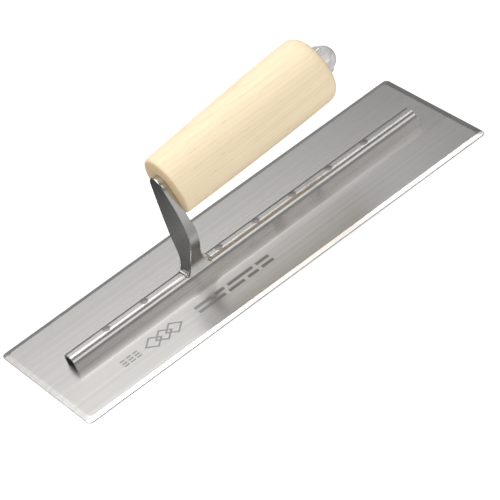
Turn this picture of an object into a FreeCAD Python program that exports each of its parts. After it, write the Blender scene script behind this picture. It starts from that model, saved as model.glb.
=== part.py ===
import FreeCAD, Part
import math
import os

# Steel finishing trowel, in millimetres. +X runs along the blade from toe to heel, +Y across it, +Z up.
# The origin is the middle of the blade's underside, which is the face that works the concrete.

# Blade: a flat sheet with rounded corners, its top ground down in a shallow band to a thinner edge.
BLADE_LENGTH = 304.8
BLADE_WIDTH = 101.6
BLADE_THICKNESS = 1.0
BLADE_EDGE_THICKNESS = 0.6
BLADE_CORNER_R = 3.0
BEVEL_WIDTH = 3.5

# Rib: a pressed channel, open downwards and at both ends, that stiffens the blade.
RIB_TOE_X = -131.0
RIB_HEEL_X = 135.0
RIB_WIDTH = 12.0
RIB_HEIGHT = 9.0
RIB_WALL = 1.5
RIB_CORNER_R = 4.5

# Rivets: studs that stand on the blade and fill countersunk holes in the rib's top.
RIVET_PITCH = 28.6
RIVET_LAST_X = 98.0
RIVET_PLACES = 8
RIVET_SHANK_R = 2.0
RIVET_HEAD_R = 2.6
RIVET_HEAD_DEPTH = 0.8
RIVET_CROWN = 0.12
RIVET_FOOT_ROOM = 5.0

# Handle: turned wood on an axis that rises towards the heel.
HANDLE_FRONT_X = -33.0
HANDLE_FRONT_Z = 69.0
HANDLE_TILT = 4.5
HANDLE_LENGTH = 120.0
HANDLE_FRONT_R = 19.8
HANDLE_MIDDLE_R = 21.6
HANDLE_MIDDLE_AT = 0.45
HANDLE_REAR_R = 22.4
HANDLE_FRONT_FLARE = 0.03
HANDLE_FRONT_EDGE_R = 2.5
HANDLE_REAR_EDGE_R = 8.0
HANDLE_BORE_R = 5.3
RECESS_R = 12.0
RECESS_DEPTH = 3.0

# Post: a foot coped over the rib, a stem, and a leaf-shaped seat against the handle's front.
POST_FOOT_Z = 7.5
POST_FOOT_TOE_X = -44.5
POST_FOOT_HEEL_X = -25.0
POST_ANKLE_Z = 14.0
POST_ANKLE_TOE_X = -40.8
POST_ANKLE_HEEL_X = -29.6
POST_STEM_BASE_Z = 22.0
POST_STEM_TOE_X = -39.0
POST_STEM_HEEL_X = -31.0
POST_NECK_Z = 47.0
POST_NECK_THICKNESS = 5.7
POST_SEAT_THICKNESS = 4.2
POST_TOP_CENTRE_Z = 70.6
POST_TOP_R = 7.9
POST_TOP_LEAN = 14.0
POST_EDGE_R = 0.8
# The post's half width at each height, from the foot up to its shoulders. A round top follows.
POST_HALF_WIDTHS = [
    (POST_FOOT_Z, 5.2),
    (POST_ANKLE_Z, 5.5),
    (POST_STEM_BASE_Z, 8.1),
    (30.0, 11.2),
    (40.0, 12.5),
    (51.0, 12.1),
    (61.0, 10.4),
]

# Weld beads, across the rib at the foot's two ends.
BEAD_TOE_X = -43.6
BEAD_HEEL_X = -26.2
BEAD_LENGTH = 2.4
BEAD_HEIGHT = 1.0
BEAD_HALF_WIDTH = 5.2

# Tang: a rod through the handle, with a spigot headed flush in the seat and a thread at the rear.
TANG_R = 5.0
SPIGOT_R = 4.0

# Cap nut and washer, on the tang's rear end.
WASHER_R = 11.0
WASHER_THICKNESS = 2.0
NUT_ACROSS_FLATS = 17.0
NUT_HEX_HEIGHT = 7.5
NUT_HEIGHT = 14.2
NUT_DOME_R = 8.1
NUT_CONE_BASE_R = 14.5
NUT_CONE_TOP_R = 8.7
NUT_TURN = 11.0
THREAD_DEPTH = 9.0

# Heights and places along the handle's axis that follow from the sizes above.
RIB_BASE_Z = BLADE_THICKNESS
RIB_TOP_Z = RIB_BASE_Z + RIB_HEIGHT
POST_TOP_Z = POST_TOP_CENTRE_Z + POST_TOP_R
WASHER_SEAT = HANDLE_LENGTH - RECESS_DEPTH
NUT_SEAT = WASHER_SEAT + WASHER_THICKNESS

Y_AXIS = FreeCAD.Vector(0, 1, 0)
Z_AXIS = FreeCAD.Vector(0, 0, 1)


def vec(x, y, z):
    return FreeCAD.Vector(x, y, z)


def rounded_rectangle(length, width, radius, z):
    """A closed wire about the Z axis: four sides joined by quarter arcs."""
    half_l = length / 2 - radius
    half_w = width / 2 - radius
    centres = [(half_l, half_w), (-half_l, half_w), (-half_l, -half_w), (half_l, -half_w)]
    edges = []
    for turn, (cx, cy) in enumerate(centres):
        start = math.radians(90 * turn)
        places = [vec(cx + radius * math.cos(a), cy + radius * math.sin(a), z)
                  for a in (start, start + math.pi / 4, start + math.pi / 2)]
        if edges:
            edges.append(Part.makeLine(edges[-1].Vertexes[-1].Point, places[0]))
        edges.append(Part.Arc(*places).toShape())
    edges.append(Part.makeLine(edges[-1].Vertexes[-1].Point, edges[0].Vertexes[0].Point))
    return Part.Wire(edges)


def arch_face(width, height, radius, base_z, x):
    """The channel's outline, square to X: flat sides and a flat top joined by round corners."""
    half = width / 2
    top = base_z + height
    k = radius * (1 - math.sqrt(0.5))
    left_arc = Part.Arc(vec(x, -half, top - radius), vec(x, -half + k, top - k), vec(x, -half + radius, top))
    right_arc = Part.Arc(vec(x, half - radius, top), vec(x, half - k, top - k), vec(x, half, top - radius))
    edges = [
        Part.makeLine(vec(x, half, base_z), vec(x, -half, base_z)),
        Part.makeLine(vec(x, -half, base_z), vec(x, -half, top - radius)),
        left_arc.toShape(),
        Part.makeLine(vec(x, -half + radius, top), vec(x, half - radius, top)),
        right_arc.toShape(),
        Part.makeLine(vec(x, half, top - radius), vec(x, half, base_z)),
    ]
    return Part.Face(Part.Wire(edges))


def rib_envelope():
    """The rib as a full bar, with no hollow."""
    face = arch_face(RIB_WIDTH, RIB_HEIGHT, RIB_CORNER_R, RIB_BASE_Z, RIB_TOE_X)
    return face.extrude(vec(RIB_HEEL_X - RIB_TOE_X, 0, 0))


def along_handle(shape):
    """Lays a shape built along +Z from zero onto the handle's axis, from its front face."""
    placed = shape.copy()
    placed.rotate(vec(0, 0, 0), Y_AXIS, 90 - HANDLE_TILT)
    placed.translate(vec(HANDLE_FRONT_X, 0, HANDLE_FRONT_Z))
    return placed


def rivet_places():
    """Evenly spaced from the heel end, with none where the post's foot stands."""
    places = [RIVET_LAST_X - RIVET_PITCH * i for i in range(RIVET_PLACES)]
    lowest = POST_FOOT_TOE_X - RIVET_FOOT_ROOM
    highest = POST_FOOT_HEEL_X + RIVET_FOOT_ROOM
    return [x for x in places if not lowest < x < highest]


def make_blade():
    lower = Part.Face(rounded_rectangle(BLADE_LENGTH, BLADE_WIDTH, BLADE_CORNER_R, 0))
    slab = lower.extrude(vec(0, 0, BLADE_EDGE_THICKNESS))
    outer = rounded_rectangle(BLADE_LENGTH, BLADE_WIDTH, BLADE_CORNER_R, BLADE_EDGE_THICKNESS)
    inner = rounded_rectangle(BLADE_LENGTH - 2 * BEVEL_WIDTH, BLADE_WIDTH - 2 * BEVEL_WIDTH,
                              BLADE_CORNER_R, BLADE_THICKNESS)
    ground_top = Part.makeLoft([outer, inner], True, True)
    return slab.fuse(ground_top).removeSplitter()


def rivet_head(x):
    """The countersunk part of one rivet, widest at the rib's top."""
    return Part.makeCone(RIVET_SHANK_R, RIVET_HEAD_R, RIVET_HEAD_DEPTH,
                         vec(x, 0, RIB_TOP_Z - RIVET_HEAD_DEPTH), Z_AXIS)


def make_rib():
    hollow = arch_face(RIB_WIDTH - 2 * RIB_WALL, RIB_HEIGHT - RIB_WALL, RIB_CORNER_R - RIB_WALL,
                       RIB_BASE_Z, RIB_TOE_X)
    channel = rib_envelope().cut(hollow.extrude(vec(RIB_HEEL_X - RIB_TOE_X, 0, 0)))
    for x in rivet_places():
        shank_hole = Part.makeCylinder(RIVET_SHANK_R, 2 * RIB_HEIGHT, vec(x, 0, RIB_BASE_Z), Z_AXIS)
        channel = channel.cut(shank_hole).cut(rivet_head(x))
    return channel


def make_rivet(x):
    """A stud on the blade, its head in the rib's countersink and its crown just proud of the top."""
    shank = Part.makeCylinder(RIVET_SHANK_R, RIB_HEIGHT - RIVET_HEAD_DEPTH, vec(x, 0, RIB_BASE_Z), Z_AXIS)
    crown_r = (RIVET_HEAD_R ** 2 + RIVET_CROWN ** 2) / (2 * RIVET_CROWN)
    ball = Part.makeSphere(crown_r, vec(x, 0, RIB_TOP_Z + RIVET_CROWN - crown_r))
    disc = Part.makeCylinder(RIVET_HEAD_R, RIVET_CROWN, vec(x, 0, RIB_TOP_Z), Z_AXIS)
    return shank.fuse(rivet_head(x)).fuse(disc.common(ball)).removeSplitter()


def make_rivets():
    return Part.makeCompound([make_rivet(x) for x in rivet_places()])


def handle_front_x(z):
    """Where the handle's front face stands at a height, in the middle plane."""
    return HANDLE_FRONT_X - (z - HANDLE_FRONT_Z) * math.tan(math.radians(HANDLE_TILT))


def spline(points, start=None, end=None):
    curve = Part.BSplineCurve()
    if start is None:
        curve.interpolate(points)
    else:
        curve.interpolate(Points=points, InitialTangent=start, FinalTangent=end)
    return curve.toShape()


def post_front_outline():
    """The post seen along X: a narrow foot, sides that flare and draw in again, and a round top."""
    lean = math.radians(POST_TOP_LEAN)
    arc_half = POST_TOP_R * math.cos(lean)
    arc_z = POST_TOP_CENTRE_Z + POST_TOP_R * math.sin(lean)
    side = [vec(0, half, z) for z, half in POST_HALF_WIDTHS] + [vec(0, arc_half, arc_z)]
    right = spline(side, Z_AXIS, vec(0, -math.sin(lean), math.cos(lean)))
    left = right.mirror(vec(0, 0, 0), Y_AXIS)
    top = Part.Arc(vec(0, arc_half, arc_z), vec(0, 0, POST_TOP_Z), vec(0, -arc_half, arc_z)).toShape()
    foot_half = POST_HALF_WIDTHS[0][1]
    bottom = Part.makeLine(vec(0, -foot_half, POST_FOOT_Z), vec(0, foot_half, POST_FOOT_Z))
    return Part.Face(Part.Wire(Part.sortEdges([right, top, left, bottom])[0]))


def post_side_outline():
    """The post seen along Y: a flared foot, a stem, and a thin seat, flat where it meets the handle."""
    crown_z = POST_TOP_Z + POST_SEAT_THICKNESS
    neck_back = vec(handle_front_x(POST_NECK_Z), 0, POST_NECK_Z)
    crown_back = vec(handle_front_x(crown_z), 0, crown_z)
    crown_front = vec(crown_back.x - POST_SEAT_THICKNESS, 0, crown_z)
    front = spline([
        vec(POST_FOOT_TOE_X, 0, POST_FOOT_Z),
        vec(POST_ANKLE_TOE_X, 0, POST_ANKLE_Z),
        vec(POST_STEM_TOE_X, 0, POST_STEM_BASE_Z),
        vec(neck_back.x - POST_NECK_THICKNESS, 0, POST_NECK_Z),
        crown_front,
    ])
    back = spline([
        neck_back,
        vec(POST_STEM_HEEL_X, 0, POST_STEM_BASE_Z),
        vec(POST_ANKLE_HEEL_X, 0, POST_ANKLE_Z),
        vec(POST_FOOT_HEEL_X, 0, POST_FOOT_Z),
    ])
    edges = [
        front,
        Part.makeLine(crown_front, crown_back),
        Part.makeLine(crown_back, neck_back),
        back,
        Part.makeLine(vec(POST_FOOT_HEEL_X, 0, POST_FOOT_Z), vec(POST_FOOT_TOE_X, 0, POST_FOOT_Z)),
    ]
    return Part.Face(Part.Wire(edges))


def is_rounded(edge):
    """True for the edges round the post's front: its two long sides and the arc over its top."""
    box = edge.BoundBox
    return box.ZMax > POST_STEM_BASE_Z and box.XMax < HANDLE_FRONT_X - POST_SEAT_THICKNESS / 2


def post_blank():
    """The forging before its hole: both outlines pushed through each other, and the rib's shape cut out."""
    seen_from_toe = post_front_outline()
    seen_from_toe.translate(vec(2 * POST_FOOT_TOE_X, 0, 0))
    seen_from_side = post_side_outline()
    seen_from_side.translate(vec(0, -2 * RIB_WIDTH, 0))
    block = seen_from_toe.extrude(vec(-2 * POST_FOOT_TOE_X, 0, 0))
    forging = block.common(seen_from_side.extrude(vec(0, 4 * RIB_WIDTH, 0))).Solids[0]
    forging = forging.makeFillet(POST_EDGE_R, [edge for edge in forging.Edges if is_rounded(edge)])
    return forging.cut(rib_envelope()).Solids[0]


def spigot_bar():
    length = 3 * POST_SEAT_THICKNESS
    return along_handle(Part.makeCylinder(SPIGOT_R, length, vec(0, 0, -length)))


def make_post():
    return post_blank().cut(spigot_bar())


def make_post_welds():
    """A low bead over the rib's top at each end of the post's foot."""
    beads = []
    for x in (BEAD_TOE_X, BEAD_HEEL_X):
        face = arch_face(RIB_WIDTH, RIB_HEIGHT + BEAD_HEIGHT, RIB_CORNER_R, RIB_BASE_Z, x - BEAD_LENGTH / 2)
        strip = Part.makeBox(BEAD_LENGTH, 2 * BEAD_HALF_WIDTH, RIB_HEIGHT,
                             vec(x - BEAD_LENGTH / 2, -BEAD_HALF_WIDTH, POST_FOOT_Z))
        bead = face.extrude(vec(BEAD_LENGTH, 0, 0)).common(strip)
        beads.append(bead.cut(rib_envelope()).cut(post_blank()))
    return Part.makeCompound(beads)


def make_tang():
    """The rod through the handle. Its spigot is headed flush with the curved front of the seat."""
    rod = along_handle(Part.makeCylinder(TANG_R, NUT_SEAT + THREAD_DEPTH))
    return rod.fuse(spigot_bar().common(post_blank()))


def make_handle():
    """Turned wood: the half outline is spun round the axis, bore and rear recess included."""
    front_edge = HANDLE_FRONT_EDGE_R
    rear_edge = HANDLE_REAR_EDGE_R
    corner = 1 - math.sqrt(0.5)
    front_arc = Part.Arc(
        vec(HANDLE_FRONT_R - front_edge, 0, 0),
        vec(HANDLE_FRONT_R - front_edge * corner, 0, front_edge * corner),
        vec(HANDLE_FRONT_R, 0, front_edge))
    rear_arc = Part.Arc(
        vec(HANDLE_REAR_R, 0, HANDLE_LENGTH - rear_edge),
        vec(HANDLE_REAR_R - rear_edge * corner, 0, HANDLE_LENGTH - rear_edge * corner),
        vec(HANDLE_REAR_R - rear_edge, 0, HANDLE_LENGTH))
    side = spline([
        vec(HANDLE_FRONT_R, 0, front_edge),
        vec(HANDLE_MIDDLE_R, 0, HANDLE_LENGTH * HANDLE_MIDDLE_AT),
        vec(HANDLE_REAR_R, 0, HANDLE_LENGTH - rear_edge),
    ], vec(HANDLE_FRONT_FLARE, 0, 1), Z_AXIS)
    corners = [
        vec(HANDLE_REAR_R - rear_edge, 0, HANDLE_LENGTH),
        vec(RECESS_R, 0, HANDLE_LENGTH),
        vec(RECESS_R, 0, WASHER_SEAT),
        vec(HANDLE_BORE_R, 0, WASHER_SEAT),
        vec(HANDLE_BORE_R, 0, 0),
        vec(HANDLE_FRONT_R - front_edge, 0, 0),
    ]
    lines = [Part.makeLine(a, b) for a, b in zip(corners, corners[1:])]
    outline = Part.Wire([front_arc.toShape(), side, rear_arc.toShape()] + lines)
    return along_handle(Part.Face(outline).revolve(vec(0, 0, 0), Z_AXIS, 360))


def make_washer():
    ring = Part.makeCylinder(WASHER_R, WASHER_THICKNESS, vec(0, 0, WASHER_SEAT))
    return along_handle(ring.cut(Part.makeCylinder(HANDLE_BORE_R, 2 * HANDLE_LENGTH)))


def make_cap_nut():
    """A low hex nut closed by a dome, its hex corners turned off to a cone."""
    corner_r = NUT_ACROSS_FLATS / math.sqrt(3)
    angles = [math.radians(60 * i + NUT_TURN) for i in range(7)]
    ring = [vec(corner_r * math.cos(a), corner_r * math.sin(a), NUT_SEAT) for a in angles]
    hexagon = Part.Face(Part.makePolygon(ring)).extrude(vec(0, 0, NUT_HEX_HEIGHT))
    turned = Part.makeCone(NUT_CONE_BASE_R, NUT_CONE_TOP_R, NUT_HEX_HEIGHT, vec(0, 0, NUT_SEAT), Z_AXIS)
    dome_height = NUT_HEIGHT - NUT_HEX_HEIGHT
    ball_r = (NUT_DOME_R ** 2 + dome_height ** 2) / (2 * dome_height)
    ball = Part.makeSphere(ball_r, vec(0, 0, NUT_SEAT + NUT_HEIGHT - ball_r))
    above = Part.makeCylinder(corner_r, dome_height, vec(0, 0, NUT_SEAT + NUT_HEX_HEIGHT))
    nut = hexagon.common(turned).fuse(ball.common(above))
    return along_handle(nut.cut(Part.makeCylinder(TANG_R, THREAD_DEPTH, vec(0, 0, NUT_SEAT))))


PARTS = {
    "blade": make_blade,
    "rib": make_rib,
    "rivets": make_rivets,
    "post": make_post,
    "post_welds": make_post_welds,
    "tang": make_tang,
    "handle": make_handle,
    "washer": make_washer,
    "cap_nut": make_cap_nut,
}

os.makedirs("parts", exist_ok=True)
for name, make in PARTS.items():
    shape = make()
    shape.exportStep("parts/" + name + ".step")
    state = "valid" if shape.isValid() else "INVALID"
    print(name, len(shape.Solids), "solids", round(shape.Volume, 1), "mm3", state)
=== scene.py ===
import bpy
import bmesh
import math
from mathutils import Matrix, Vector


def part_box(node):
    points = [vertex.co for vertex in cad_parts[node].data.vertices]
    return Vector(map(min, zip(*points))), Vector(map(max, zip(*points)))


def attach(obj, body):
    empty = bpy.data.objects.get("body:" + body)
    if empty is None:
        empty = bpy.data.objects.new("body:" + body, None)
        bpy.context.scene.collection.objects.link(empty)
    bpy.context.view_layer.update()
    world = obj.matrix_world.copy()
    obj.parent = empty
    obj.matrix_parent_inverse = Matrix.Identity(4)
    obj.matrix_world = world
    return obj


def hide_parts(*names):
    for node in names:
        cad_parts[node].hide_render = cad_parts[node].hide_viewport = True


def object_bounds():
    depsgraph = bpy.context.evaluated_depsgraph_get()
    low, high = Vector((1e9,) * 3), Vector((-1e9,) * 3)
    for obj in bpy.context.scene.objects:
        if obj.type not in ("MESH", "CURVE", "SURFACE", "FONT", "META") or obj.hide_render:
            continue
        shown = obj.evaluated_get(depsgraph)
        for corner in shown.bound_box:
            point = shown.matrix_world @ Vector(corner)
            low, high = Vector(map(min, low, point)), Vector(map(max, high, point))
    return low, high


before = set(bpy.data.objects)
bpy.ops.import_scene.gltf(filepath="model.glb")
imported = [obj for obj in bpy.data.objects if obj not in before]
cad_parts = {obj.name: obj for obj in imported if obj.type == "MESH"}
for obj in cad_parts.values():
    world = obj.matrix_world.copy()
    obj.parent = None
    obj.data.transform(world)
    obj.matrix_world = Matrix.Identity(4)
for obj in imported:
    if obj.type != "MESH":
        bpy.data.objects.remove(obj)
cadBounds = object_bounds()
millimetre = 0.001
weldDistance = 0.001 * millimetre
print("frame loaded:", len(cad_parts), "nodes")


# Nodes and materials: small helpers

def addNode(tree, kind, inputs=None, **settings):
    node = tree.nodes.new(kind)
    for key, value in settings.items():
        setattr(node, key, value)
    for key, value in (inputs or {}).items():
        plugIn(tree, node.inputs[key], value)
    return node


def plugIn(tree, socket, value):
    if isinstance(value, bpy.types.NodeSocket):
        tree.links.new(value, socket)
    else:
        socket.default_value = value


def mixColour(tree, factor, first, second, blend="MIX"):
    node = addNode(tree, "ShaderNodeMix", data_type="RGBA", blend_type=blend)
    plugIn(tree, node.inputs[0], factor)
    plugIn(tree, node.inputs[6], first)
    plugIn(tree, node.inputs[7], second)
    return node.outputs[2]


def calculate(tree, operation, first, second=0.0, third=0.0):
    node = addNode(tree, "ShaderNodeMath", {0: first, 1: second, 2: third}, operation=operation)
    return node.outputs[0]


def remap(tree, value, fromLow, fromHigh, toLow, toHigh, smooth=False):
    node = addNode(tree, "ShaderNodeMapRange", {
        "Value": value, "From Min": fromLow, "From Max": fromHigh, "To Min": toLow, "To Max": toHigh})
    if smooth:
        node.interpolation_type = "SMOOTHSTEP"
    return node.outputs[0]


def grainNoise(tree, vector, scale, detail=3.0, roughness=0.5):
    node = addNode(tree, "ShaderNodeTexNoise", {
        "Vector": vector, "Scale": scale, "Detail": detail, "Roughness": roughness})
    return node.outputs[0]


def stretch(tree, vector, factors):
    return addNode(tree, "ShaderNodeVectorMath", {0: vector, 1: factors}, operation="MULTIPLY").outputs[0]


def startGroup(name, inputs, outputs):
    group = bpy.data.node_groups.new(name, "ShaderNodeTree")
    for label, kind, value in inputs:
        socket = group.interface.new_socket(name=label, in_out="INPUT", socket_type=kind)
        if value is not None:
            socket.default_value = value
    for label, kind in outputs:
        group.interface.new_socket(name=label, in_out="OUTPUT", socket_type=kind)
    return group, group.nodes.new("NodeGroupInput").outputs, group.nodes.new("NodeGroupOutput").inputs


def useGroup(tree, group, inputs):
    node = tree.nodes.new("ShaderNodeGroup")
    node.node_tree = group
    for key, value in inputs.items():
        plugIn(tree, node.inputs[key], value)
    return node.outputs


def startMaterial(name, constants):
    material = bpy.data.materials.new(name)
    material.use_nodes = True
    tree = material.node_tree
    tree.nodes.clear()
    shader = addNode(tree, "ShaderNodeBsdfPrincipled", constants)
    out = tree.nodes.new("ShaderNodeOutputMaterial")
    tree.links.new(shader.outputs[0], out.inputs[0])
    place = tree.nodes.new("ShaderNodeTexCoord").outputs["Object"]
    return material, tree, shader, place


def bumpInto(tree, shader, height, distance):
    bump = addNode(tree, "ShaderNodeBump", {"Height": height, "Distance": distance, "Strength": 1.0})
    tree.links.new(bump.outputs[0], shader.inputs["Normal"])


# Camera and studio

cameraSet = {
    "target": (-0.00196, -0.00856, 0.001),
    "distance": 1.797,
    "azimuth": math.radians(-22.40),
    "elevation": math.radians(36.03),
    "roll": math.radians(-22.43),
    "lens": 216.0,
    "sensor": 36.0,
}


def placeCamera(settings):
    azimuth, elevation = settings["azimuth"], settings["elevation"]
    away = Vector((
        math.sin(azimuth) * math.cos(elevation),
        -math.cos(azimuth) * math.cos(elevation),
        math.sin(elevation),
    ))
    data = bpy.data.cameras.new("studioCamera")
    data.lens = settings["lens"]
    data.sensor_width = settings["sensor"]
    data.clip_start = 0.05
    data.clip_end = 30.0
    camera = bpy.data.objects.new("studioCamera", data)
    bpy.context.scene.collection.objects.link(camera)
    turn = Matrix.Rotation(azimuth, 4, "Z") @ Matrix.Rotation(math.pi / 2 - elevation, 4, "X")
    turn = turn @ Matrix.Rotation(settings["roll"], 4, "Z")
    camera.matrix_world = Matrix.Translation(Vector(settings["target"]) + away * settings["distance"]) @ turn
    bpy.context.scene.camera = camera


placeCamera(cameraSet)

# Each soft box: where its middle stands, its two sides in metres and its power. All of them face the origin.
softBoxes = {
    "farSide": {"at": (0.16, 1.30, 1.71), "sides": (1.3, 1.0), "power": 9.0},
    "nearSide": {"at": (0.7, -1.8, 1.45), "sides": (1.5, 1.3), "power": 11.0},
    "overhead": {"at": (0.42, 0.75, 2.0), "sides": (1.3, 0.6), "power": 9.0},
    "fill": {"at": (-0.9, 0.2, 2.2), "sides": (1.6, 1.6), "power": 26.0},
}
lampTone = (1.0, 0.995, 0.985)


def makeSoftBox(name, settings):
    data = bpy.data.lights.new(name, "AREA")
    data.shape = "RECTANGLE"
    data.size, data.size_y = settings["sides"]
    data.energy = settings["power"]
    data.color = lampTone
    lamp = bpy.data.objects.new(name, data)
    bpy.context.scene.collection.objects.link(lamp)
    at = Vector(settings["at"])
    facing = (-at).to_track_quat("-Z", "Y")
    lamp.matrix_world = Matrix.Translation(at) @ facing.to_matrix().to_4x4()
    lamp.visible_camera = False


for boxName, boxSettings in softBoxes.items():
    makeSoftBox(boxName, boxSettings)

studioTones = {
    "backdrop": (1.0, 1.0, 1.0, 1.0),
    "roomLight": (0.45, 0.455, 0.46, 1.0),
    "roomInMetal": (0.17, 0.17, 0.17, 1.0),
    "floor": (0.86, 0.86, 0.86, 1.0),
    "floorGlow": (0.20, 0.20, 0.20, 1.0),
    "nearFloorInMetal": (0.75, 0.75, 0.75, 1.0),
    "farFloorInMetal": (0.08, 0.08, 0.08, 1.0),
    "floorTurnsDark": (-0.15, 0.10),
    "floorSide": 8.0,
    "floorDrop": 0.3 * millimetre,
}


def lightRoom(tones):
    world = bpy.data.worlds.new("studioRoom")
    bpy.context.scene.world = world
    world.use_nodes = True
    tree = world.node_tree
    tree.nodes.clear()
    path = tree.nodes.new("ShaderNodeLightPath").outputs
    lit = mixColour(tree, path["Is Glossy Ray"], tones["roomLight"], tones["roomInMetal"])
    shown = mixColour(tree, path["Is Camera Ray"], lit, tones["backdrop"])
    background = addNode(tree, "ShaderNodeBackground", {"Color": shown})
    out = tree.nodes.new("ShaderNodeOutputWorld")
    tree.links.new(background.outputs[0], out.inputs[0])


def layFloor(tones):
    bm = bmesh.new()
    bmesh.ops.create_grid(bm, x_segments=1, y_segments=1, size=tones["floorSide"] / 2)
    bmesh.ops.translate(bm, verts=bm.verts, vec=(0, 0, cadBounds[0].z - tones["floorDrop"]))
    mesh = bpy.data.meshes.new("studioFloor")
    bm.to_mesh(mesh)
    bm.free()
    material = bpy.data.materials.new("studioFloor")
    material.use_nodes = True
    tree = material.node_tree
    tree.nodes.clear()
    path = tree.nodes.new("ShaderNodeLightPath").outputs
    paint = addNode(tree, "ShaderNodeBsdfDiffuse", {"Color": tones["floor"]})
    glow = addNode(tree, "ShaderNodeEmission", {"Color": tones["floorGlow"]})
    pale = addNode(tree, "ShaderNodeAddShader", {0: paint.outputs[0], 1: glow.outputs[0]})
    across = addNode(tree, "ShaderNodeSeparateXYZ", {
        0: tree.nodes.new("ShaderNodeTexCoord").outputs["Object"]}).outputs["Y"]
    nearY, farY = tones["floorTurnsDark"]
    inMetal = mixColour(tree, remap(tree, across, nearY, farY, 0.0, 1.0), tones["nearFloorInMetal"],
                        tones["farFloorInMetal"])
    dim = addNode(tree, "ShaderNodeEmission", {"Color": inMetal})
    both = addNode(tree, "ShaderNodeMixShader", {
        0: path["Is Glossy Ray"], 1: pale.outputs[0], 2: dim.outputs[0]})
    out = tree.nodes.new("ShaderNodeOutputMaterial")
    tree.links.new(both.outputs[0], out.inputs[0])
    mesh.materials.append(material)
    floor = bpy.data.objects.new("studioFloor", mesh)
    bpy.context.scene.collection.objects.link(floor)


lightRoom(studioTones)
layFloor(studioTones)
bpy.context.scene.view_settings.view_transform = "Standard"
print("camera, lights and floor placed")


# Effects shared by more than one finish

def buildScratches():
    # Fine lines that run along the vector's X, and broader uneven bands the same way.
    group, given, result = startGroup("finishScratches", [
        ("Vector", "NodeSocketVector", None),
        ("Across", "NodeSocketFloat", 3000.0),
        ("Along", "NodeSocketFloat", 40.0),
    ], [("Height", "NodeSocketFloat"), ("Bands", "NodeSocketFloat")])
    factors = addNode(group, "ShaderNodeCombineXYZ", {
        "X": given["Along"], "Y": given["Across"], "Z": given["Across"]}).outputs[0]
    fine = stretch(group, given["Vector"], factors)
    group.links.new(grainNoise(group, fine, 1.0, 2.0, 0.6), result["Height"])
    group.links.new(grainNoise(group, fine, 0.09, 4.0, 0.65), result["Bands"])
    return group


def buildSmudges():
    # Soft patches where hands and cloths have dulled a bright surface.
    group, given, result = startGroup("handSmudges", [
        ("Vector", "NodeSocketVector", None),
        ("Scale", "NodeSocketFloat", 40.0),
        ("Cover", "NodeSocketFloat", 0.5),
    ], [("Mask", "NodeSocketFloat")])
    patches = grainNoise(group, given["Vector"], given["Scale"], 5.0, 0.6)
    low = calculate(group, "SUBTRACT", 0.72, calculate(group, "MULTIPLY", given["Cover"], 0.3))
    high = calculate(group, "ADD", low, 0.16)
    group.links.new(remap(group, patches, low, high, 0.0, 1.0, smooth=True), result["Mask"])
    return group


def buildBar():
    # A flat bar in the XY plane, with soft sides.
    group, given, result = startGroup("etchedBar", [
        ("Vector", "NodeSocketVector", None),
        ("Centre", "NodeSocketVector", (0.0, 0.0, 0.0)),
        ("Half Size", "NodeSocketVector", (0.01, 0.001, 1.0)),
    ], [("Mask", "NodeSocketFloat")])
    local = addNode(group, "ShaderNodeVectorMath", {
        0: given["Vector"], 1: given["Centre"]}, operation="SUBTRACT")
    size = addNode(group, "ShaderNodeVectorMath", {0: local.outputs[0]}, operation="ABSOLUTE")
    past = addNode(group, "ShaderNodeVectorMath", {
        0: size.outputs[0], 1: given["Half Size"]}, operation="SUBTRACT")
    sides = addNode(group, "ShaderNodeSeparateXYZ", {0: past.outputs[0]}).outputs
    furthest = calculate(group, "MAXIMUM", sides["X"], sides["Y"])
    softSide = 0.15 * millimetre
    group.links.new(remap(group, furthest, -softSide, softSide, 1.0, 0.0), result["Mask"])
    return group


scratches = buildScratches()
smudges = buildSmudges()
bar = buildBar()
print("shared effects built")

# Blade

bladeLook = {
    "steel": (0.60, 0.588, 0.578, 1.0),
    "darkStreak": (0.50, 0.49, 0.48, 1.0),
    "groundSteel": (0.84, 0.84, 0.83, 1.0),
    "groundWidth": 3.6 * millimetre,
    "groundBlend": 0.1 * millimetre,
    "groundFall": math.tan(math.radians(9.0)),
    "groundRoughness": 0.04,
    "roughness": (0.26, 0.36),
    "smudgeRoughness": 0.05,
    "scratchAcross": 2600.0,
    "scratchAlong": 22.0,
    "scratchDepth": 0.0015 * millimetre,
    "etchTone": (0.27, 0.27, 0.265, 1.0),
    "etchShare": 0.85,
    "etchRoughness": 0.25,
    "etchDepth": 1.5,
    "studTone": (0.47, 0.46, 0.44, 1.0),
    "studShare": 0.5,
    "topStartsAt": 0.3 * millimetre,
}
# Places are counted from the heel's end of the row. The one at emptyPlace lies under the post.
studRow = {"pitch": 28.6 * millimetre, "radius": 3.4 * millimetre, "solidShare": 0.8, "emptyPlace": 5}

# The etched mark says nothing: a block of dashes, three linked lozenges and two rows of bars. In millimetres.
markShape = {
    "dashes": {
        "middle": (-104.6, -25.4), "steps": (4.6, 2.8), "repeats": (3, 3), "halfLength": 1.8, "halfLine": 0.7,
    },
    "lozenges": {"middle": (-80.0, -25.4), "step": 7.6, "reach": 5.8, "halfLine": 0.9},
    "bars": {
        "firstX": -55.0, "gap": 2.6, "halfHeight": 1.4,
        "rows": {-23.0: (13, 7, 19, 10), -28.4: (20, 12, 8, 9)},
    },
}


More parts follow.
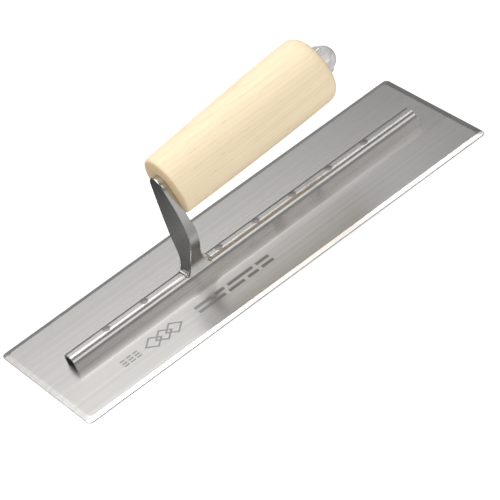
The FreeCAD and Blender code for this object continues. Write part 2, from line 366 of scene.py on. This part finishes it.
def markDashes(tree, axes, shape):
    # A block of dashes, repeated along and across.
    mask = None
    halves = (shape["halfLength"], shape["halfLine"])
    rows = zip("XY", shape["middle"], shape["steps"], shape["repeats"], halves)
    for axis, middle, step, count, half in rows:
        offset = calculate(tree, "SUBTRACT", axes[axis], middle * millimetre)
        reach = step * count / 2 * millimetre
        inBlock = calculate(tree, "LESS_THAN", calculate(tree, "ABSOLUTE", offset), reach)
        folded = calculate(tree, "WRAP", offset, step / 2 * millimetre, -step / 2 * millimetre)
        inDash = calculate(tree, "LESS_THAN", calculate(tree, "ABSOLUTE", folded), half * millimetre)
        both = calculate(tree, "MULTIPLY", inBlock, inDash)
        mask = both if mask is None else calculate(tree, "MULTIPLY", mask, both)
    return mask


def markLozenges(tree, axes, shape):
    # Three outlined lozenges that overlap in a row.
    mask = None
    middleX, middleY = shape["middle"]
    up = calculate(tree, "ABSOLUTE", calculate(tree, "SUBTRACT", axes["Y"], middleY * millimetre))
    for place in (-1, 0, 1):
        shift = (middleX + place * shape["step"]) * millimetre
        along = calculate(tree, "ABSOLUTE", calculate(tree, "SUBTRACT", axes["X"], shift))
        away = calculate(tree, "SUBTRACT", calculate(tree, "ADD", along, up), shape["reach"] * millimetre)
        line = calculate(tree, "LESS_THAN", calculate(tree, "ABSOLUTE", away), shape["halfLine"] * millimetre)
        mask = line if mask is None else calculate(tree, "MAXIMUM", mask, line)
    return mask


def etchedMark(tree, place, axes, onTop):
    mask = calculate(tree, "MAXIMUM", markDashes(tree, axes, markShape["dashes"]),
                     markLozenges(tree, axes, markShape["lozenges"]))
    bars = markShape["bars"]
    for y, lengths in bars["rows"].items():
        start = bars["firstX"]
        for length in lengths:
            one = useGroup(tree, bar, {
                "Vector": place,
                "Centre": ((start + length / 2) * millimetre, y * millimetre, 0.0),
                "Half Size": (length / 2 * millimetre, bars["halfHeight"] * millimetre, 1.0),
            })["Mask"]
            mask = calculate(tree, "MAXIMUM", mask, one)
            start += length + bars["gap"]
    return calculate(tree, "MULTIPLY", mask, onTop)


def pastGroundLine(tree, axes, width):
    # How far a point lies past the inner line of the band ground along each long edge, in metres.
    return calculate(tree, "SUBTRACT", calculate(tree, "ABSOLUTE", axes["Y"]), cadBounds[1].y - width)


def studShadows(tree, axes, onTop, row):
    # Faint rounds under the blade where the studs are joined to it. The place under the post has no stud.
    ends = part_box("rivets")
    pitch, radius = row["pitch"], row["radius"]
    lastX = ends[1].x - (ends[1].y - ends[0].y) / 2
    offset = calculate(tree, "SUBTRACT", axes["X"], lastX)
    along = calculate(tree, "WRAP", offset, pitch / 2, -pitch / 2)
    squares = calculate(tree, "ADD", calculate(tree, "MULTIPLY", along, along),
                        calculate(tree, "MULTIPLY", axes["Y"], axes["Y"]))
    solid = radius * row["solidShare"]
    rounds = remap(tree, calculate(tree, "SQRT", squares), solid, radius, 1.0, 0.0, smooth=True)
    under = calculate(tree, "SUBTRACT", 1.0, onTop)
    for x, wanted in ((ends[0].x, "GREATER_THAN"), (ends[1].x, "LESS_THAN")):
        under = calculate(tree, "MULTIPLY", under, calculate(tree, wanted, axes["X"], x))
    fromEmpty = calculate(tree, "ABSOLUTE", calculate(tree, "ADD", offset, row["emptyPlace"] * pitch))
    under = calculate(tree, "MULTIPLY", under, calculate(tree, "GREATER_THAN", fromEmpty, radius))
    return calculate(tree, "MULTIPLY", rounds, under)


def brushedBladeSteel(look):
    material, tree, shader, place = startMaterial("brushedBladeSteel", {"Metallic": 1.0})
    axes = addNode(tree, "ShaderNodeSeparateXYZ", {0: place}).outputs
    onTop = calculate(tree, "GREATER_THAN", axes["Z"], look["topStartsAt"])
    lines = useGroup(tree, scratches, {
        "Vector": place, "Across": look["scratchAcross"], "Along": look["scratchAlong"]})
    marks = useGroup(tree, smudges, {"Vector": place, "Scale": 26.0, "Cover": 0.35})
    etched = etchedMark(tree, place, axes, onTop)
    past = pastGroundLine(tree, axes, look["groundWidth"])
    ground = calculate(tree, "MULTIPLY", remap(tree, past, 0.0, look["groundBlend"], 0.0, 1.0), onTop)
    studs = studShadows(tree, axes, onTop, studRow)
    streaks = remap(tree, lines["Bands"], 0.35, 0.65, 0.0, 1.0)
    steel = mixColour(tree, streaks, look["darkStreak"], look["steel"])
    steel = mixColour(tree, ground, steel, look["groundSteel"])
    steel = mixColour(tree, calculate(tree, "MULTIPLY", studs, look["studShare"]), steel, look["studTone"])
    steel = mixColour(tree, calculate(tree, "MULTIPLY", etched, look["etchShare"]), steel, look["etchTone"])
    plugIn(tree, shader.inputs["Base Color"], steel)
    low, high = look["roughness"]
    dull = remap(tree, lines["Bands"], 0.3, 0.7, high, low)
    dull = calculate(tree, "ADD", dull, calculate(tree, "MULTIPLY", marks["Mask"], look["smudgeRoughness"]))
    dull = calculate(tree, "ADD", dull, calculate(tree, "MULTIPLY", etched, look["etchRoughness"]))
    dull = calculate(tree, "ADD", dull, calculate(tree, "MULTIPLY", ground, look["groundRoughness"]))
    plugIn(tree, shader.inputs["Roughness"], dull)
    height = calculate(tree, "SUBTRACT", lines["Height"],
                       calculate(tree, "MULTIPLY", etched, look["etchDepth"]))
    slope = look["groundFall"] / look["scratchDepth"]
    fall = calculate(tree, "MULTIPLY", calculate(tree, "MULTIPLY", past, ground), slope)
    bumpInto(tree, shader, calculate(tree, "SUBTRACT", height, fall), look["scratchDepth"])
    return material


# Mounting: rib, rivets and post, and the weld beads

ribLook = {
    "steel": (0.50, 0.492, 0.482, 1.0),
    "stain": (0.42, 0.41, 0.40, 1.0),
    "roughness": (0.30, 0.38),
    "metallic": 1.0,
    "scratchDepth": 0.0004 * millimetre,
}
postLook = {
    "steel": (0.56, 0.555, 0.54, 1.0),
    "stain": (0.36, 0.35, 0.335, 1.0),
    "roughness": (0.16, 0.26),
    "metallic": 1.0,
    "scratchDepth": 0.0025 * millimetre,
}
# The studs' ends are given a much darker steel than the rib round them, so that they read as dark dots.
rivetLook = {
    "steel": (0.26, 0.25, 0.24, 1.0),
    "stain": (0.18, 0.17, 0.16, 1.0),
    "roughness": (0.34, 0.46),
    "metallic": 1.0,
    "scratchDepth": 0.0008 * millimetre,
}


mountingLines = {"across": 1700.0, "along": 45.0, "smudgeScale": 60.0, "smudgeCover": 0.5}


def polishedMounting(look, name, upright):
    # Upright pieces were polished up and down, the rib along its length.
    material, tree, shader, place = startMaterial(name, {"Metallic": look["metallic"]})
    if upright:
        place = addNode(tree, "ShaderNodeMapping", {
            "Vector": place, "Rotation": (0.0, math.pi / 2, 0.0)}).outputs[0]
    lines = useGroup(tree, scratches, {
        "Vector": place, "Across": mountingLines["across"], "Along": mountingLines["along"]})
    marks = useGroup(tree, smudges, {
        "Vector": place, "Scale": mountingLines["smudgeScale"], "Cover": mountingLines["smudgeCover"]})
    steel = mixColour(tree, marks["Mask"], look["steel"], look["stain"])
    plugIn(tree, shader.inputs["Base Color"], steel)
    low, high = look["roughness"]
    dull = remap(tree, lines["Bands"], 0.3, 0.7, low, high)
    dull = calculate(tree, "ADD", dull, calculate(tree, "MULTIPLY", marks["Mask"], 0.06))
    plugIn(tree, shader.inputs["Roughness"], dull)
    height = calculate(tree, "ADD", lines["Height"], calculate(tree, "MULTIPLY", lines["Bands"], 2.0))
    bumpInto(tree, shader, height, look["scratchDepth"])
    return material


# Wood

woodLook = {
    "pale": (0.90, 0.76, 0.53, 1.0),
    "dark": (0.80, 0.64, 0.42, 1.0),
    "fleck": (0.52, 0.36, 0.20, 1.0),
    "endTone": (0.80, 0.72, 0.62, 1.0),
    "tilt": math.radians(4.5),
    "heart": (0.0, -0.030, -0.036),
    "ringsPerMetre": 420.0,
    "ringLean": 0.035,
    "ringDrift": 0.006,
    "lateWoodPower": 3.5,
    "lateWoodEnds": 0.93,
    "lateWoodShare": 0.55,
    "streakShare": 0.45,
    "fibreShare": 0.12,
    "poreShare": 0.55,
    "endGrainRange": (0.55, 0.95),
    "roughness": (0.50, 0.62),
    "grainDepth": 0.05 * millimetre,
}


def buildWoodFigure(look):
    # The vector's X lies along the grain. End is 1 where the surface cuts the grain square.
    group, given, result = startGroup("turnedWoodFigure", [
        ("Vector", "NodeSocketVector", None),
        ("Heart", "NodeSocketVector", look["heart"]),
        ("Rings", "NodeSocketFloat", look["ringsPerMetre"]),
        ("End", "NodeSocketFloat", 0.0),
    ], [("Color", "NodeSocketColor"), ("Height", "NodeSocketFloat"), ("Fibre", "NodeSocketFloat")])
    fromHeart = addNode(group, "ShaderNodeVectorMath", {
        0: given["Vector"], 1: given["Heart"]}, operation="SUBTRACT")
    drift = grainNoise(group, stretch(group, given["Vector"], (7.0, 34.0, 34.0)), 1.0, 3.0, 0.55)
    parts = addNode(group, "ShaderNodeSeparateXYZ", {0: fromHeart.outputs[0]}).outputs
    across = addNode(group, "ShaderNodeCombineXYZ", {"Y": parts["Y"], "Z": parts["Z"]}).outputs[0]
    distance = addNode(group, "ShaderNodeVectorMath", {0: across}, operation="LENGTH").outputs["Value"]
    lean = calculate(group, "MULTIPLY", parts["X"], look["ringLean"])
    ringPlace = calculate(group, "ADD", calculate(group, "ADD", distance, lean),
                          calculate(group, "MULTIPLY", drift, look["ringDrift"]))
    phase = calculate(group, "FRACT", calculate(group, "MULTIPLY", ringPlace, given["Rings"]))
    lateWood = calculate(group, "POWER", phase, look["lateWoodPower"])
    lateWood = calculate(group, "MULTIPLY", lateWood,
                         remap(group, phase, look["lateWoodEnds"], 1.0, 1.0, 0.0))
    fibre = grainNoise(group, stretch(group, given["Vector"], (30.0, 1500.0, 1500.0)), 1.0, 4.0, 0.6)
    streak = grainNoise(group, stretch(group, given["Vector"], (9.0, 260.0, 260.0)), 1.0, 3.0, 0.55)
    pores = grainNoise(group, stretch(group, given["Vector"], (90.0, 2300.0, 2300.0)), 1.0, 1.0, 0.4)
    pores = remap(group, pores, 0.70, 0.78, 0.0, 1.0)
    darkness = calculate(group, "ADD", calculate(group, "MULTIPLY", lateWood, look["lateWoodShare"]),
                         remap(group, streak, 0.35, 0.75, 0.0, look["streakShare"]))
    darkness = calculate(group, "ADD", darkness,
                         remap(group, fibre, 0.3, 0.7, -look["fibreShare"], look["fibreShare"]))
    colour = mixColour(group, darkness, look["pale"], look["dark"])
    colour = mixColour(group, calculate(group, "MULTIPLY", pores, look["poreShare"]), colour, look["fleck"])
    endColour = mixColour(group, given["End"], (1.0, 1.0, 1.0, 1.0), look["endTone"])
    colour = mixColour(group, 1.0, colour, endColour, "MULTIPLY")
    group.links.new(colour, result["Color"])
    height = calculate(group, "SUBTRACT", calculate(group, "MULTIPLY", fibre, 0.6),
                       calculate(group, "MULTIPLY", pores, 0.5))
    group.links.new(calculate(group, "SUBTRACT", height, calculate(group, "MULTIPLY", lateWood, 0.15)),
                    result["Height"])
    group.links.new(fibre, result["Fibre"])
    return group


def bareBasswood(look):
    material, tree, shader, place = startMaterial("bareBasswood", {"Specular IOR Level": 0.42})
    along = addNode(tree, "ShaderNodeMapping", {
        "Vector": place, "Rotation": (0.0, look["tilt"], 0.0)}).outputs[0]
    facing = tree.nodes.new("ShaderNodeNewGeometry").outputs["Normal"]
    axis = (math.cos(look["tilt"]), 0.0, math.sin(look["tilt"]))
    square = addNode(tree, "ShaderNodeVectorMath", {0: facing, 1: axis}, operation="DOT_PRODUCT")
    square = calculate(tree, "ABSOLUTE", square.outputs["Value"])
    sideEnds, endStarts = look["endGrainRange"]
    end = remap(tree, square, sideEnds, endStarts, 0.0, 1.0, smooth=True)
    figure = useGroup(tree, buildWoodFigure(look), {"Vector": along, "End": end})
    plugIn(tree, shader.inputs["Base Color"], figure["Color"])
    low, high = look["roughness"]
    plugIn(tree, shader.inputs["Roughness"], remap(tree, figure["Fibre"], 0.3, 0.7, low, high))
    bumpInto(tree, shader, figure["Height"], look["grainDepth"])
    return material


# Fasteners: cap nut and washer

fastenerLook = {
    "steel": (0.88, 0.875, 0.865, 1.0),
    "stain": (0.78, 0.775, 0.76, 1.0),
    "roughness": (0.24, 0.34),
    "metallic": 0.55,
    "scratchDepth": 0.001 * millimetre,
}

finishes = {
    "blade_steel": brushedBladeSteel(bladeLook),
    "mounting": polishedMounting(ribLook, "polishedRibSteel", upright=False),
    "rivet": polishedMounting(rivetLook, "darkRivetSteel", upright=False),
    "post": polishedMounting(postLook, "polishedPostSteel", upright=True),
    "fastener": polishedMounting(fastenerLook, "brightFastenerSteel", upright=False),
    "wood": bareBasswood(woodLook),
}
cadFinish = {
    "blade": "blade_steel", "rib": "mounting", "rivets": "rivet", "post": "post", "tang": "post",
}
for nodeName, finishName in cadFinish.items():
    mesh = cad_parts[nodeName].data
    mesh.materials.clear()
    mesh.materials.append(finishes[finishName])
print("finishes made:", len(finishes))


# New pieces: shared ways to turn and finish them

def finishPiece(bm, name, finish, nodes, sharpAngle=40.0):
    bmesh.ops.remove_doubles(bm, verts=bm.verts, dist=weldDistance)
    bmesh.ops.recalc_face_normals(bm, faces=bm.faces)
    mesh = bpy.data.meshes.new(name)
    bm.to_mesh(mesh)
    bm.free()
    mesh.shade_smooth()
    mesh.set_sharp_from_angle(angle=math.radians(sharpAngle))
    mesh.materials.append(finishes[finish])
    piece = bpy.data.objects.new(name, mesh)
    bpy.context.scene.collection.objects.link(piece)
    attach(piece, "root")
    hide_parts(*nodes)


def turnOutline(corners, steps):
    # corners: (radius, height, rounding) in millimetres, in order round a closed outline.
    bm = bmesh.new()
    verts = [bm.verts.new((radius * millimetre, 0.0, height * millimetre)) for radius, height, _ in corners]
    for first, second in zip(verts, verts[1:] + verts[:1]):
        bm.edges.new((first, second))
    for vert, (_, _, rounding) in zip(verts, corners):
        if rounding:
            bmesh.ops.bevel(bm, geom=[vert], offset=rounding * millimetre, segments=8, affect="VERTICES",
                            profile=0.5, material=-1)
    bmesh.ops.spin(bm, geom=bm.verts[:] + bm.edges[:], cent=(0, 0, 0), axis=(0, 0, 1), dvec=(0, 0, 0),
                   angle=2 * math.pi, steps=steps, use_merge=True)
    return bm


def layOnHandleAxis(bm, node):
    # Turns a piece made along +Z onto the handle's axis, and centres it on its CAD node.
    bmesh.ops.rotate(bm, verts=bm.verts, cent=(0, 0, 0),
                     matrix=Matrix.Rotation(math.pi / 2 - woodLook["tilt"], 3, "Y"))
    places = [vert.co for vert in bm.verts]
    low = Vector([min(place[i] for place in places) for i in range(3)])
    high = Vector([max(place[i] for place in places) for i in range(3)])
    cadLow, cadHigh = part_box(node)
    bmesh.ops.translate(bm, verts=bm.verts, vec=(cadLow + cadHigh - low - high) / 2)


# Sizes of the new pieces are in millimetres.

handleShape = {
    "length": 120.0,
    "frontRadius": 19.8,
    "rearRadius": 22.4,
    "frontRounding": 2.5,
    "rearRounding": 8.0,
    "boreRadius": 5.3,
    "recessRadius": 12.0,
    "recessDepth": 3.0,
    "recessRounding": 0.7,
    "sideStations": 9,
    "sideEndShare": 0.93,
    "steps": 128,
}


def handleRadius(shape, share):
    # A slight swell: it rises fast near the front and is flat at the rear.
    return shape["frontRadius"] + (shape["rearRadius"] - shape["frontRadius"]) * math.sin(share * math.pi / 2)


def makeHandle(shape):
    length = shape["length"]
    corners = [(shape["boreRadius"], 0.0, 0), (shape["frontRadius"], 0.0, shape["frontRounding"])]
    for station in range(1, shape["sideStations"]):
        share = station / shape["sideStations"]
        corners.append((handleRadius(shape, share), length * share * shape["sideEndShare"], 0))
    corners += [
        (shape["rearRadius"], length, shape["rearRounding"]),
        (shape["recessRadius"], length, shape["recessRounding"]),
        (shape["recessRadius"], length - shape["recessDepth"], 0),
        (shape["boreRadius"], length - shape["recessDepth"], 0),
    ]
    bm = turnOutline(corners, shape["steps"])
    layOnHandleAxis(bm, "handle")
    finishPiece(bm, "turnedHandle", "wood", ["handle"], sharpAngle=50.0)


makeHandle(handleShape)

washerShape = {"outer": 11.0, "inner": 5.3, "thickness": 2.0, "rounding": 0.5, "steps": 72}


def makeWasher(shape):
    corners = [
        (shape["inner"], 0.0, 0),
        (shape["outer"], 0.0, 0),
        (shape["outer"], shape["thickness"], shape["rounding"]),
        (shape["inner"], shape["thickness"], 0),
    ]
    bm = turnOutline(corners, shape["steps"])
    layOnHandleAxis(bm, "washer")
    finishPiece(bm, "rearWasher", "fastener", ["washer"])


makeWasher(washerShape)

nutShape = {
    "acrossFlats": 17.0,
    "hexHeight": 7.5,
    "height": 14.2,
    "domeRadius": 8.1,
    "turn": math.radians(11.0),
    "chamferRadius": 8.7,
    "chamferSlope": math.radians(39.0),
    "chamferCuts": 36,
    "edgeRounding": 0.35,
    "domeRings": 10,
    "domeSink": 0.6,
    "steps": 64,
}


def makeCapNut(shape):
    bm = bmesh.new()
    cornerRadius = shape["acrossFlats"] / math.sqrt(3) * millimetre
    hexHeight = shape["hexHeight"] * millimetre
    bmesh.ops.create_circle(bm, segments=6, radius=cornerRadius, cap_ends=True)
    bmesh.ops.rotate(bm, verts=bm.verts, cent=(0, 0, 0),
                     matrix=Matrix.Rotation(shape["turn"] + math.pi / 6, 3, "Z"))
    top = bmesh.ops.extrude_face_region(bm, geom=bm.faces[:])["geom"]
    raised = [part for part in top if isinstance(part, bmesh.types.BMVert)]
    bmesh.ops.translate(bm, verts=raised, vec=(0, 0, hexHeight))
    upright = [edge for edge in bm.edges if abs(edge.verts[0].co.z - edge.verts[1].co.z) > hexHeight / 2]
    bmesh.ops.bevel(bm, geom=upright, offset=shape["edgeRounding"] * millimetre, segments=3, affect="EDGES",
                    profile=0.5, material=-1)
    slope = shape["chamferSlope"]
    for cut in range(shape["chamferCuts"]):
        angle = 2 * math.pi * cut / shape["chamferCuts"]
        around = Vector((math.cos(angle), math.sin(angle), 0))
        outward = around * math.cos(slope) + Vector((0, 0, math.sin(slope)))
        rim = around * shape["chamferRadius"] * millimetre
        rim.z = hexHeight
        parted = bmesh.ops.bisect_plane(bm, geom=bm.verts[:] + bm.edges[:] + bm.faces[:], plane_co=rim,
                                        plane_no=outward, clear_outer=True, dist=1e-8)["geom_cut"]
        edges = [part for part in parted if isinstance(part, bmesh.types.BMEdge)]
        if edges:
            bmesh.ops.holes_fill(bm, edges=edges, sides=0)
    bmesh.ops.remove_doubles(bm, verts=bm.verts, dist=weldDistance)
    domeHeight = (shape["height"] - shape["hexHeight"]) * millimetre
    domeRadius = shape["domeRadius"] * millimetre
    ballRadius = (domeRadius ** 2 + domeHeight ** 2) / (2 * domeHeight)
    widest = math.asin(domeRadius / ballRadius)
    arc = []
    for ring in range(shape["domeRings"] + 1):
        angle = widest * (1 - ring / shape["domeRings"])
        arc.append(bm.verts.new((ballRadius * math.sin(angle), 0,
                                 hexHeight + domeHeight - ballRadius * (1 - math.cos(angle)))))
    sunk = hexHeight - shape["domeSink"] * millimetre
    foot = bm.verts.new((domeRadius, 0, sunk))
    middle = bm.verts.new((0, 0, sunk))
    outline = [middle, foot] + arc
    edges = [bm.edges.new(pair) for pair in zip(outline, outline[1:])]
    bmesh.ops.spin(bm, geom=outline + edges, cent=(0, 0, 0), axis=(0, 0, 1), dvec=(0, 0, 0),
                   angle=2 * math.pi, steps=shape["steps"], use_merge=True)
    layOnHandleAxis(bm, "cap_nut")
    finishPiece(bm, "capNut", "fastener", ["cap_nut"], sharpAngle=28.0)


makeCapNut(nutShape)
print("handle, washer and nut made")

# Weld beads over the rib, one at each end of the post's foot

beadShape = {
    "toeAt": -43.9,
    "heelAt": -25.9,
    "halfWidth": 5.0,
    "radius": 1.15,
    "ripples": 9,
    "rippleDepth": 0.14,
    "flatHalf": 1.5,
    "sink": 0.25,
    "sides": 14,
    "leastTaper": 0.2,
}


def makeWeldBeads(shape):
    bm = bmesh.new()
    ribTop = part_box("rib")[1].z / millimetre
    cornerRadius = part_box("rib")[1].y / millimetre - shape["flatHalf"]
    stations = shape["ripples"] * 4
    for beadX in (shape["toeAt"], shape["heelAt"]):
        rings = []
        for station in range(stations + 1):
            share = station / stations
            y = shape["halfWidth"] * (2 * share - 1)
            past = max(0.0, abs(y) - shape["flatHalf"])
            drop = cornerRadius - math.sqrt(cornerRadius ** 2 - past ** 2)
            taper = math.sqrt(max(shape["leastTaper"] ** 2, 1 - (2 * share - 1) ** 6))
            swell = 1 + shape["rippleDepth"] * math.cos(2 * math.pi * shape["ripples"] * share)
            ring = bmesh.ops.create_circle(bm, segments=shape["sides"], radius=millimetre)["verts"]
            size = shape["radius"] * taper * swell
            bmesh.ops.scale(bm, verts=ring, vec=(size, size, 1.0))
            bmesh.ops.rotate(bm, verts=ring, cent=(0, 0, 0), matrix=Matrix.Rotation(math.pi / 2, 3, "X"))
            middle = Vector((beadX, y, ribTop - drop - shape["sink"]))
            bmesh.ops.translate(bm, verts=ring, vec=middle * millimetre)
            rings.append([edge for edge in bm.edges if all(vert in ring for vert in edge.verts)])
        for first, second in zip(rings, rings[1:]):
            bmesh.ops.bridge_loops(bm, edges=first + second)
        for ends in (rings[0], rings[-1]):
            bmesh.ops.holes_fill(bm, edges=ends, sides=0)
    finishPiece(bm, "weldBeads", "mounting", ["post_welds"], sharpAngle=70.0)


makeWeldBeads(beadShape)
print("weld beads made")
